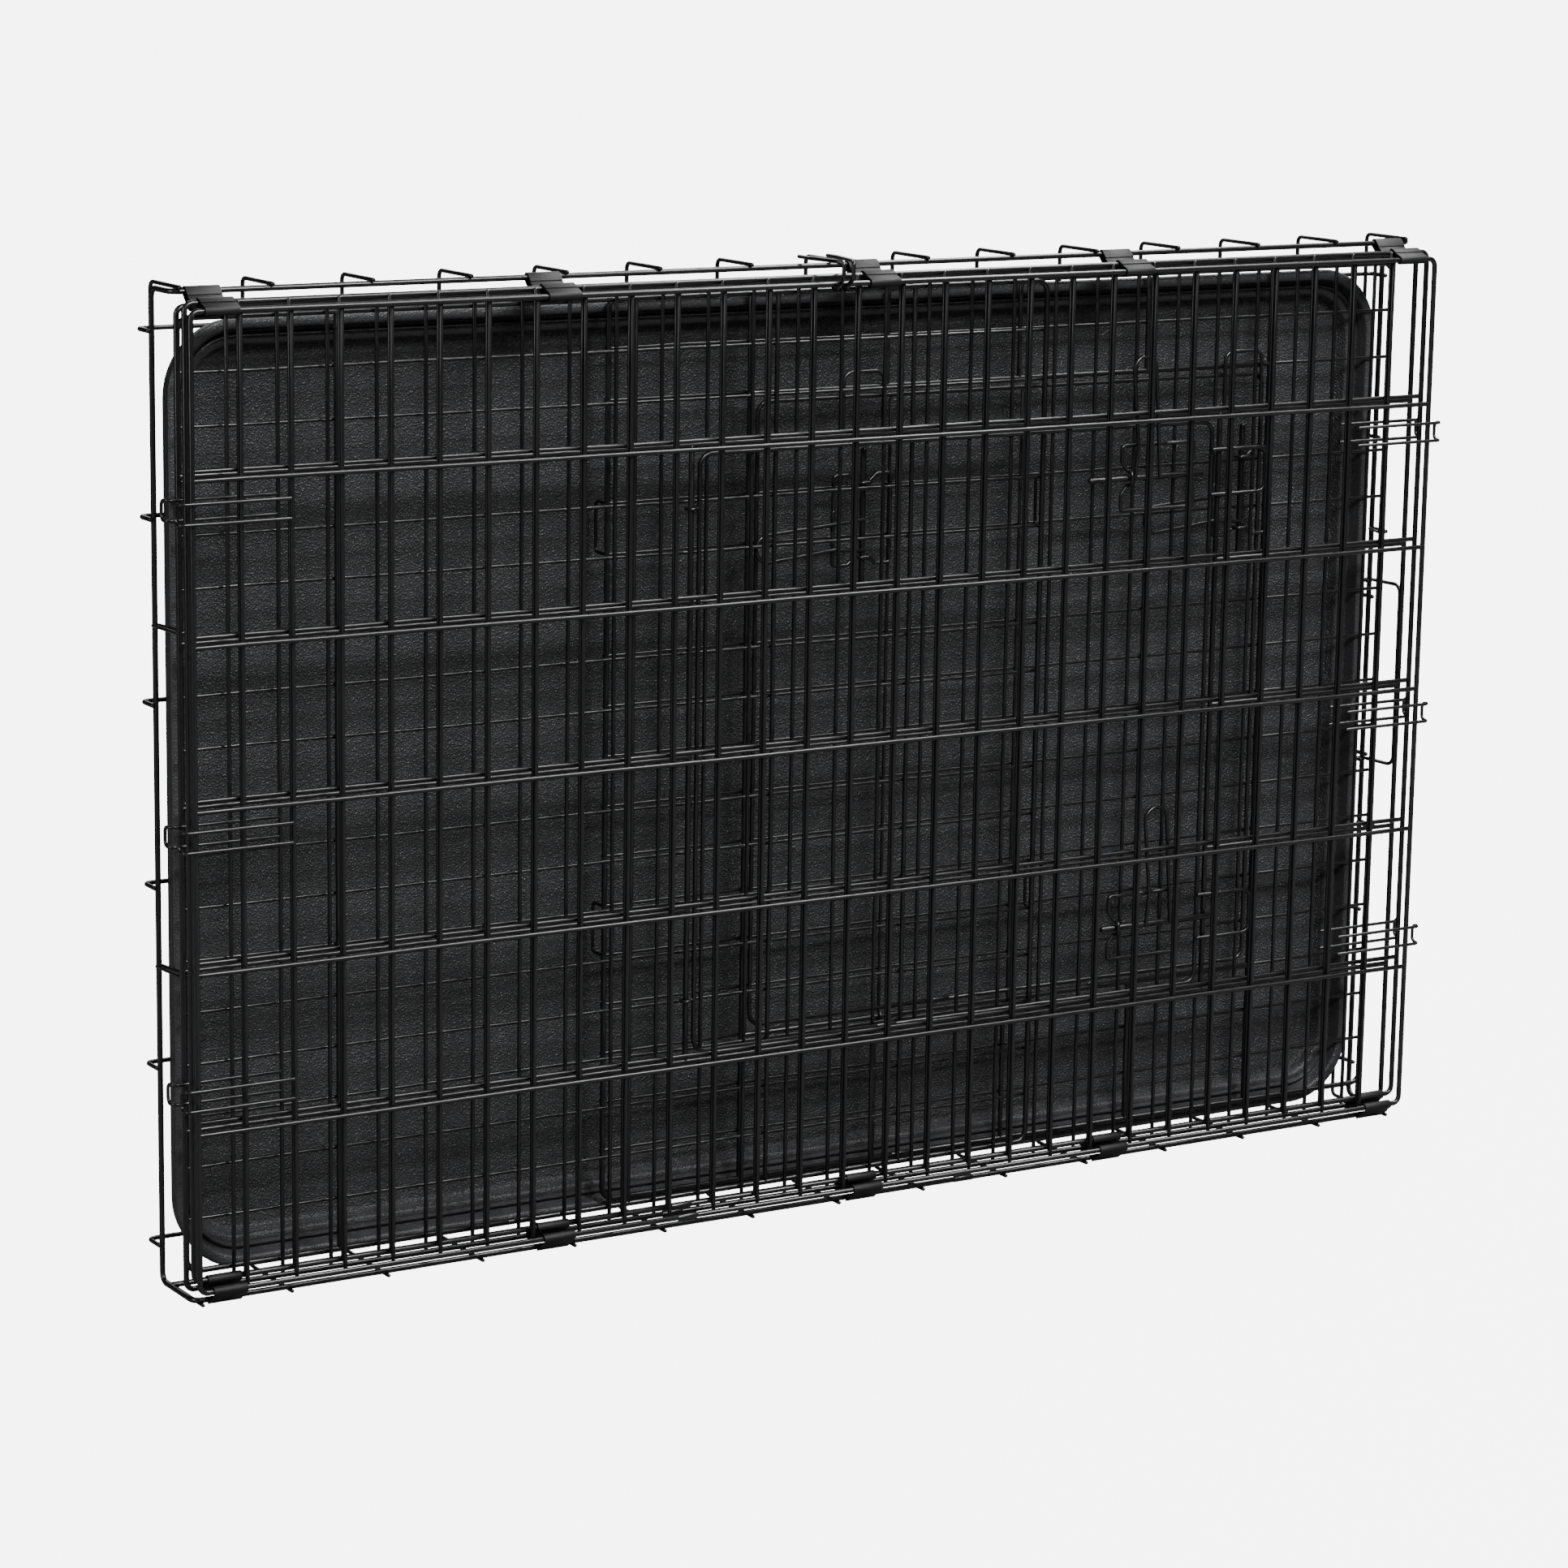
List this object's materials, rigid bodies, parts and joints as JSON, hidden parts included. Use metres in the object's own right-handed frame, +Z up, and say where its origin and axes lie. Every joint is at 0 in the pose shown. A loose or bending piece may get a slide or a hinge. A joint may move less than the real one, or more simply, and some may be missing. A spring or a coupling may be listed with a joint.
{
  "type": "folding wire dog crate",
  "caption": "Black wire pet crate folded flat on its long edge, with a plastic tray, hinged side, roof and end panels, slide-bolt doors and sheet hinge clips.",
  "frame": {"origin": "centre of the bounding box at its lowest point, under the long edge that the folded crate stands on", "axes": "+X along the length, towards the end with the pan stop; +Y from the front panel to the base; +Z up"},
  "size_m": [0.9306, 0.0826, 0.6154],
  "materials": {
    "wire": "semi-gloss black electro-coat",
    "clip": "semi-gloss black electro-coat on sheet",
    "tray": "pebbled black moulding"
  },
  "bodies": {
    "base": {"base_floor": "wire", "base_wall_upper": "wire", "base_wall_lower": "wire", "base_end_left": "wire", "base_end_right": "wire", "tray": "tray", "end_panel_left": "wire", "end_panel_right": "wire", "end_door": "wire", "end_latch_upper_bracket": "wire", "end_latch_upper_keeper": "wire", "end_latch_lower_bracket": "wire", "end_latch_lower_keeper": "wire"},
    "side_back": {"side_panel_back": "wire", "side_door": "wire", "side_latch_upper_bracket": "wire", "side_latch_upper_keeper": "wire", "side_latch_lower_bracket": "wire", "side_latch_lower_keeper": "wire", "back_hook_left_1": "wire", "back_hook_left_2": "wire", "back_hook_left_3": "wire", "back_hook_right_1": "wire", "back_hook_right_2": "wire", "back_hook_right_3": "wire", "clip_base_top_1": "clip", "clip_base_top_2": "clip", "clip_base_top_3": "clip", "clip_base_top_4": "clip", "clip_base_top_5": "clip"},
    "roof": {"roof_panel": "wire", "clip_back_roof_1": "clip", "clip_back_roof_2": "clip", "clip_back_roof_3": "clip", "clip_back_roof_4": "clip", "clip_back_roof_5": "clip", "clip_roof_front_1": "clip", "clip_roof_front_2": "clip", "clip_roof_front_3": "clip", "clip_roof_front_4": "clip", "clip_roof_front_5": "clip"},
    "front": {"side_panel_front": "wire", "front_hook_left_1": "wire", "front_hook_left_2": "wire", "front_hook_left_3": "wire", "front_hook_right_1": "wire", "front_hook_right_2": "wire", "front_hook_right_3": "wire", "closing_hook_left": "wire", "closing_hook_right": "wire", "clip_base_low_1": "clip", "clip_base_low_2": "clip", "clip_base_low_3": "clip", "clip_base_low_4": "clip", "clip_base_low_5": "clip"},
    "pan_stop": {"pan_stop": "wire"},
    "side_latch_upper_bolt": {"side_latch_upper_bolt": "wire"},
    "side_latch_lower_bolt": {"side_latch_lower_bolt": "wire"},
    "end_latch_upper_bolt": {"end_latch_upper_bolt": "wire"},
    "end_latch_lower_bolt": {"end_latch_lower_bolt": "wire"}
  },
  "joints": [
    {"name": "panel_fold", "type": "hinge", "parent": "base", "child": "side_back", "pos_m": [0, -0.00294, 0.60826], "axis": [-1, 0, 0], "range_deg": [0, 89.25]},
    {"name": "roof_fold", "type": "hinge", "parent": "side_back", "child": "roof", "pos_m": [0, -0.01074, 0.00826], "axis": [-1, 0, 0], "range_deg": [-266.03, 0]},
    {"name": "front_fold", "type": "hinge", "parent": "roof", "child": "front", "pos_m": [0, -0.03074, 0.59926], "axis": [-1, 0, 0], "range_deg": [0, 89]},
    {"name": "pan_stop_swing", "type": "hinge", "parent": "base", "child": "pan_stop", "pos_m": [0.455, 0.02506, 0.30926], "axis": [0, 0, 1], "range_deg": [0, 100]},
    {"name": "side_bolt_upper_slide", "type": "slide", "parent": "side_back", "child": "side_latch_upper_bolt", "axis": [1, 0, 0], "range_m": [0, 0.02]},
    {"name": "side_bolt_lower_slide", "type": "slide", "parent": "side_back", "child": "side_latch_lower_bolt", "axis": [1, 0, 0], "range_m": [-0.02, 0]},
    {"name": "end_bolt_upper_slide", "type": "slide", "parent": "base", "child": "end_latch_upper_bolt", "axis": [0, 0, 1], "range_m": [0, 0.02]},
    {"name": "end_bolt_lower_slide", "type": "slide", "parent": "base", "child": "end_latch_lower_bolt", "axis": [0, 0, 1], "range_m": [0, 0.02]}
  ],
  "couplings": [
    {"joint": "roof_fold", "follows": "panel_fold", "ratio": -2.9804},
    {"joint": "front_fold", "follows": "panel_fold", "ratio": 0.99702}
  ]
}
